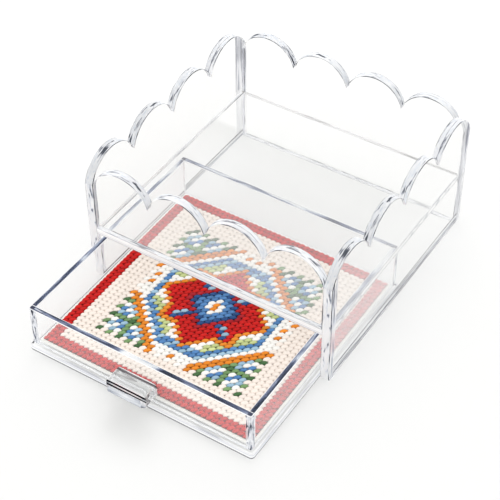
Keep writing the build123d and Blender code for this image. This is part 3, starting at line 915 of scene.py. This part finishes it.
def stitches():
    g = design()
    t = np.array([-1.0, -0.88, -0.52, 0.0, 0.52, 0.88, 1.0])                # rings along
    th = np.radians([0.0, 30.0, 60.0, 90.0, 120.0, 150.0, 180.0, 270.0])    # points round: full on top, one keel below
    R, S = len(t), len(th)
    prof = np.clip(1 - np.abs(t) ** 3.4, 0, 1) ** 0.5
    prof = np.maximum(prof, 0.24)
    z_lo, z_hi = ya.z, yb.z
    base_v = []
    verts, faces, uvs, mats, tones = [], [], [], [], []
    count = 0
    diag = math.sqrt(0.5)
    vert_blocks, shade_and_tone_blocks = [], []
    idx_quads = []
    for r in range(R - 1):
        for s in range(S):
            s2 = (s + 1) % S
            idx_quads.append((r * S + s, r * S + s2, (r + 1) * S + s2, (r + 1) * S + s))
    caps = [tuple(reversed(range(S))), tuple((R - 1) * S + s for s in range(S))]
    mat_ids = []
    for i in range(NX):
        for j in range(NY):
            cx = ya.x + (i + 0.5) * pitch
            cy = ya.y + (j + 0.5) * (yb.y - ya.y) / NY
            j1 = rng.normal(0, 1, 8)
            ang = math.radians(45 + 2.6 * j1[0])
            half = 0.5 * math.sqrt(2) * pitch * (1.03 + 0.018 * j1[1])
            wid = pitch * ((0.445 if g[i, j] in ("cream", "white") else 0.412) + 0.012 * j1[2])
            hgt = 0.5 * (z_hi - z_lo) * min(1.0, 0.93 + 0.05 * j1[3])
            cz = z_hi - hgt - 0.02 * MM - abs(j1[4]) * 0.04 * MM
            bend = 0.05 * j1[5]
            d = np.array([math.cos(ang), math.sin(ang)])
            q = np.array([-d[1], d[0]])
            along = t * half
            side = bend * wid * (1 - t * t)
            lift = cz - (np.abs(t) ** 4.0) * 0.55 * MM
            tw = 1.9 * t + j1[6]
            rr = 1 + 0.07 * np.cos(2 * (th[None, :] - tw[:, None]))
            pa = prof[:, None] * rr
            cs, sn = np.cos(th), np.sin(th)
            off = pa * wid * (np.sign(cs) * np.abs(cs) ** 0.92)[None, :] + side[:, None]
            zz = lift[:, None] + pa * hgt * (np.sign(sn) * np.abs(sn) ** 0.80)[None, :]
            x = cx + along[:, None] * d[0] + off * q[0]
            y = cy + along[:, None] * d[1] + off * q[1]
            zz = np.minimum(zz, z_hi)
            vert_blocks.append(np.stack([x, y, zz], -1).reshape(-1, 3))
            # painted shade: tone goes darker at each stitch's sides, underside and ends, where the yarn shades itself,
            # around a small random difference from stitch to stitch
            hide = 0.50 * (np.clip(sn, 0, 1) ** 0.8 - 0.72)[None, :] - 0.24 * (np.abs(t) ** 5)[:, None]
            shade_and_tone_blocks.append((0.24 + 0.08 * j1[7] + hide).reshape(-1))
            mat_ids.append(yarn_names.index(g[i, j]))
    V = np.concatenate(vert_blocks)
    T = np.concatenate(shade_and_tone_blocks)
    nst = NX * NY
    # the slanted backs of the coloured stitches show between them as a bed, given the dark end of the yarn's ramp:
    # painted shade in the gaps
    bed = [(i, j) for i in range(NX) for j in range(NY) if g[i, j] not in ("cream", "white")]
    lo_x, hi_x = ya.x, yb.x
    V[:, 0] = np.clip(V[:, 0], lo_x, hi_x)
    V[:, 1] = np.clip(V[:, 1], ya.y, yb.y)
    q = np.array(idx_quads)
    off = (np.arange(nst) * R * S)[:, None, None]
    quads = (q[None] + off).reshape(-1, 4)
    cap = (np.array(caps)[None] + off).reshape(-1, S)
    sy = (yb.y - ya.y) / NY
    zb = z_lo + 0.30 * MM
    bv = []
    e = 0.01 * MM            # each cell of the bed is its own closed block
    for i, j in bed:
        x0, y0 = ya.x + i * pitch, ya.y + j * sy
        for z in (zb, z_lo + 0.02 * MM):
            for dx, dy in ((0, 0), (1, 0), (1, 1), (0, 1)):
                bv.append((x0 + (pitch - e if dx else e), y0 + (sy - e if dy else e), z))
    nb = len(bed)
    base = len(V)
    V = np.concatenate([V, np.array(bv)])
    # the bed's tone sits at the dark end of the ramp: painted shade
    T = np.concatenate([T, np.full(nb * 8, -0.45)])
    box = np.array([(0, 1, 2, 3), (7, 6, 5, 4), (0, 4, 5, 1), (1, 5, 6, 2), (2, 6, 7, 3), (3, 7, 4, 0)])
    bq = (box[None] + (base + np.arange(nb) * 8)[:, None, None]).reshape(-1, 4)
    loops = np.concatenate([quads.reshape(-1), cap.reshape(-1), bq.reshape(-1)])
    nq, nc, nbq = len(quads), len(cap), len(bq)
    starts = np.concatenate([np.arange(nq) * 4, nq * 4 + np.arange(nc) * S, nq * 4 + nc * S + np.arange(nbq) * 4])
    totals = np.concatenate([np.full(nq, 4), np.full(nc, S), np.full(nbq, 4)])
    me = bpy.data.meshes.new("needlepoint_stitches")
    me.vertices.add(len(V)); me.vertices.foreach_set("co", V.astype(np.float32).reshape(-1))
    me.loops.add(len(loops)); me.loops.foreach_set("vertex_index", loops.astype(np.int32))
    me.polygons.add(len(starts))
    me.polygons.foreach_set("loop_start", starts.astype(np.int32))
    me.polygons.foreach_set("loop_total", totals.astype(np.int32))
    bed_ids = [yarn_names.index(g[i, j]) for i, j in bed]
    mi = np.concatenate([np.repeat(mat_ids, len(q)), np.repeat(mat_ids, 2), np.repeat(bed_ids, 6)])
    me.polygons.foreach_set("material_index", mi.astype(np.int32))
    me.polygons.foreach_set("use_smooth", np.concatenate([np.ones(nq + nc, bool), np.zeros(nbq, bool)]))
    me.update(calc_edges=True)
    me.validate()
    at = me.attributes.new("tone_and_shade", "FLOAT", "POINT")
    at.data.foreach_set("value", T.astype(np.float32))
    # along and round each stitch, with its own offset so that no two look the same
    u = (np.repeat(t, S) + 1) / 2
    v = np.tile(th / (2 * np.pi), R)
    U = (u[None] + rng.uniform(0, 40, nst)[:, None]).reshape(-1)
    W = (v[None] + rng.uniform(0, 40, nst)[:, None]).reshape(-1)
    U = np.concatenate([U, np.array(bv)[:, 0] * 300])
    W = np.concatenate([W, np.array(bv)[:, 1] * 300])
    uvl = me.uv_layers.new(name="yarn")
    lv = np.zeros(len(me.loops), np.int32); me.loops.foreach_get("vertex_index", lv)
    uvl.data.foreach_set("uv", np.stack([U[lv], W[lv]], 1).astype(np.float32).reshape(-1))
    for n in yarn_names:
        me.materials.append(yarn_material(n, YARN[n]))
    o = bpy.data.objects.new("needlepoint_stitches", me)
    scene.collection.objects.link(o)
    return o


stitch_o = stitches()
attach(stitch_o, "drawer"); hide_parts("needlepoint_yarn")


def canvas_grid():
    """Seven-mesh canvas: bars between square holes, with a solid margin."""
    a, b = B["needlepoint_canvas"]
    bar = 2.65 * MM
    def lines(lo_, hi_, s0, n):
        out = [lo_]
        for k in range(n):
            if k == 0:
                continue
            c = s0 + k * pitch
            out += [c - (pitch - bar) / 2, c + (pitch - bar) / 2]
        out.append(hi_)
        return out
    xs = lines(a.x, b.x, ya.x, NX)
    ys = lines(a.y, b.y, ya.y, NY)
    nx, ny = len(xs), len(ys)
    def hole(i, j):
        return i % 2 == 1 and j % 2 == 1
    verts = []
    for z in (a.z, b.z):
        for y in ys:
            for x in xs:
                verts.append((x, y, z))
    def vid(k, i, j):
        return k * nx * ny + j * nx + i
    faces = []
    for j in range(ny - 1):
        for i in range(nx - 1):
            if hole(i, j):
                faces.append((vid(0, i, j), vid(0, i + 1, j), vid(1, i + 1, j), vid(1, i, j)))
                faces.append((vid(0, i + 1, j), vid(0, i + 1, j + 1), vid(1, i + 1, j + 1), vid(1, i + 1, j)))
                faces.append((vid(0, i + 1, j + 1), vid(0, i, j + 1), vid(1, i, j + 1), vid(1, i + 1, j + 1)))
                faces.append((vid(0, i, j + 1), vid(0, i, j), vid(1, i, j), vid(1, i, j + 1)))
            else:
                faces.append((vid(1, i, j), vid(1, i + 1, j), vid(1, i + 1, j + 1), vid(1, i, j + 1)))
                faces.append((vid(0, i, j), vid(0, i, j + 1), vid(0, i + 1, j + 1), vid(0, i + 1, j)))
    for i in range(nx - 1):
        faces.append((vid(0, i, 0), vid(0, i + 1, 0), vid(1, i + 1, 0), vid(1, i, 0)))
        faces.append((vid(0, i + 1, ny - 1), vid(0, i, ny - 1), vid(1, i, ny - 1), vid(1, i + 1, ny - 1)))
    for j in range(ny - 1):
        faces.append((vid(0, 0, j + 1), vid(0, 0, j), vid(1, 0, j), vid(1, 0, j + 1)))
        faces.append((vid(0, nx - 1, j), vid(0, nx - 1, j + 1), vid(1, nx - 1, j + 1), vid(1, nx - 1, j)))
    me = bpy.data.meshes.new("needlepoint_canvas_grid")
    me.from_pydata(verts, [], faces)
    me.update()
    bm = bmesh.new(); bm.from_mesh(me)
    bmesh.ops.recalc_face_normals(bm, faces=bm.faces)
    bm.to_mesh(me); bm.free()
    o = bpy.data.objects.new("needlepoint_canvas_grid", me)
    scene.collection.objects.link(o)
    return o


def woven_material(name, rgb, scale, bump_mm, rough=0.8):
    m, nt = new_mat(name)
    out = N(nt, "ShaderNodeOutputMaterial")
    bs = N(nt, "ShaderNodeBsdfPrincipled")
    bs.inputs["Roughness"].default_value = rough
    tc = N(nt, "ShaderNodeTexCoord")
    w1 = N(nt, "ShaderNodeTexWave", wave_type="BANDS", bands_direction="X"); w1.inputs["Scale"].default_value = scale
    w2 = N(nt, "ShaderNodeTexWave", wave_type="BANDS", bands_direction="Y"); w2.inputs["Scale"].default_value = scale
    for w in (w1, w2):
        w.inputs["Distortion"].default_value = 0.6
        L(nt, tc.outputs["Object"], w.inputs["Vector"])
    mx = N(nt, "ShaderNodeMath", operation="MAXIMUM")
    L(nt, w1.outputs["Fac"], mx.inputs[0]); L(nt, w2.outputs["Fac"], mx.inputs[1])
    ns = N(nt, "ShaderNodeTexNoise"); ns.inputs["Scale"].default_value = 350.0; ns.inputs["Detail"].default_value = 4.0
    L(nt, tc.outputs["Object"], ns.inputs["Vector"])
    mul = N(nt, "ShaderNodeMath", operation="MULTIPLY")
    L(nt, mx.outputs[0], mul.inputs[0]); L(nt, ns.outputs["Fac"], mul.inputs[1])
    ramp = N(nt, "ShaderNodeValToRGB")
    b = srgb(*rgb)
    ramp.color_ramp.elements[0].color = (b[0] * 0.95, b[1] * 0.95, b[2] * 0.94, 1)
    ramp.color_ramp.elements[1].color = (min(1, b[0] * 1.05), min(1, b[1] * 1.05), min(1, b[2] * 1.05), 1)
    L(nt, mul.outputs[0], ramp.inputs["Fac"]); L(nt, ramp.outputs[0], bs.inputs["Base Color"])
    bump = N(nt, "ShaderNodeBump"); bump.inputs["Strength"].default_value = 0.4
    bump.inputs["Distance"].default_value = bump_mm * MM
    L(nt, mul.outputs[0], bump.inputs["Height"]); L(nt, bump.outputs[0], bs.inputs["Normal"])
    L(nt, bs.outputs[0], out.inputs["Surface"])
    return m


canvas_o = canvas_grid()
canvas_o.data.materials.append(woven_material("canvas_cream", (252, 249, 242), 900.0, 0.05))
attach(canvas_o, "drawer"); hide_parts("needlepoint_canvas")

board_m = woven_material("board_offwhite", (253, 252, 248), 1500.0, 0.02, 0.85)
board_o = slab("insert_board_sheet", "insert_board", (board_m, board_m, board_m), radius=0.8 * MM, bevel=0.2 * MM)
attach(board_o, "drawer"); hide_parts("insert_board")

# ---------------------------------------------------------------------------
# floor and light
# ---------------------------------------------------------------------------
def floor():
    bm = bmesh.new()
    n, half = 24, 3.0
    grid = [[bm.verts.new((-half + 2 * half * i / n, -half + 2 * half * j / n, 0.0)) for i in range(n + 1)] for j in range(n + 1)]
    for j in range(n):
        for i in range(n):
            bm.faces.new([grid[j][i], grid[j][i + 1], grid[j + 1][i + 1], grid[j + 1][i]])
    me = bpy.data.meshes.new("floor"); bm.to_mesh(me); bm.free()
    m, nt = new_mat("floor_pale")
    out = N(nt, "ShaderNodeOutputMaterial"); bs = N(nt, "ShaderNodeBsdfPrincipled")
    bs.inputs["Roughness"].default_value = 0.75
    bs.inputs["Specular IOR Level"].default_value = 0.2
    tc = N(nt, "ShaderNodeTexCoord"); ns = N(nt, "ShaderNodeTexNoise"); ns.inputs["Scale"].default_value = 6.0
    rp = N(nt, "ShaderNodeValToRGB")
    rp.color_ramp.elements[0].color = (0.835, 0.835, 0.828, 1); rp.color_ramp.elements[1].color = (0.85, 0.85, 0.843, 1)
    L(nt, tc.outputs["Object"], ns.inputs["Vector"]); L(nt, ns.outputs["Fac"], rp.inputs["Fac"])
    L(nt, rp.outputs[0], bs.inputs["Base Color"]); L(nt, bs.outputs[0], out.inputs["Surface"])
    me.materials.append(m)
    o = bpy.data.objects.new("floor", me)
    o.location.z = -0.00002
    scene.collection.objects.link(o)
    return o


floor_o = floor()

world = bpy.data.worlds.new("studio")
scene.world = world
world.use_nodes = True
wt = world.node_tree
wt.nodes.clear()
wo = N(wt, "ShaderNodeOutputWorld"); bg = N(wt, "ShaderNodeBackground")
tc = N(wt, "ShaderNodeTexCoord"); sx = N(wt, "ShaderNodeSeparateXYZ")
L(wt, tc.outputs["Generated"], sx.inputs[0])
ramp = N(wt, "ShaderNodeValToRGB")
els = ramp.color_ramp.elements
els[0].position = 0.0; els[0].color = (0.90, 0.91, 0.94, 1)
els[1].position = 0.10; els[1].color = (0.95, 0.955, 0.975, 1)
e = els.new(0.20); e.color = (1.0, 1.0, 1.0, 1)
e = els.new(1.0); e.color = (1.0, 1.0, 0.995, 1)
L(wt, sx.outputs["Z"], ramp.inputs["Fac"])
L(wt, ramp.outputs[0], bg.inputs["Color"])
bg.inputs["Strength"].default_value = 1.02
L(wt, bg.outputs[0], wo.inputs["Surface"])


def area(name, loc, target, size, power, colour=(1, 1, 1)):
    ld = bpy.data.lights.new(name, "AREA")
    ld.shape = "RECTANGLE"; ld.size = size[0]; ld.size_y = size[1]
    ld.energy = power; ld.color = colour
    o = bpy.data.objects.new(name, ld)
    o.location = loc
    o.rotation_euler = (Vector(target) - Vector(loc)).to_track_quat("-Z", "Y").to_euler()
    scene.collection.objects.link(o)
    return o


# a large soft box, behind the object and to its left
key = area("key_back", (-0.531, 1.042, 1.12), (0, 0, 0.03), (1.0, 0.7), 7.5)
key.visible_transmission = False
key.visible_glossy = False
# and a low fill from the front
fill = area("fill_front", (0.35, -1.25, 0.42), (0, 0, 0.03), (1.2, 0.5), 1.7)
fill.visible_transmission = False
fill.visible_glossy = False

# ---------------------------------------------------------------------------
# render settings that belong to glass and colour
# ---------------------------------------------------------------------------
scene.view_settings.view_transform = "Standard"
scene.view_settings.look = "None"
scene.view_settings.exposure = 0.0
scene.view_settings.gamma = 1.0
c = scene.cycles
c.max_bounces = 24
c.transmission_bounces = 22
c.glossy_bounces = 12
c.diffuse_bounces = 4
c.transparent_max_bounces = 40
c.caustics_refractive = True
c.caustics_reflective = True
c.sample_clamp_indirect = 4.0
world.cycles.sampling_method = "NONE"      # sky light reaches what lies under the acrylic through the acrylic itself
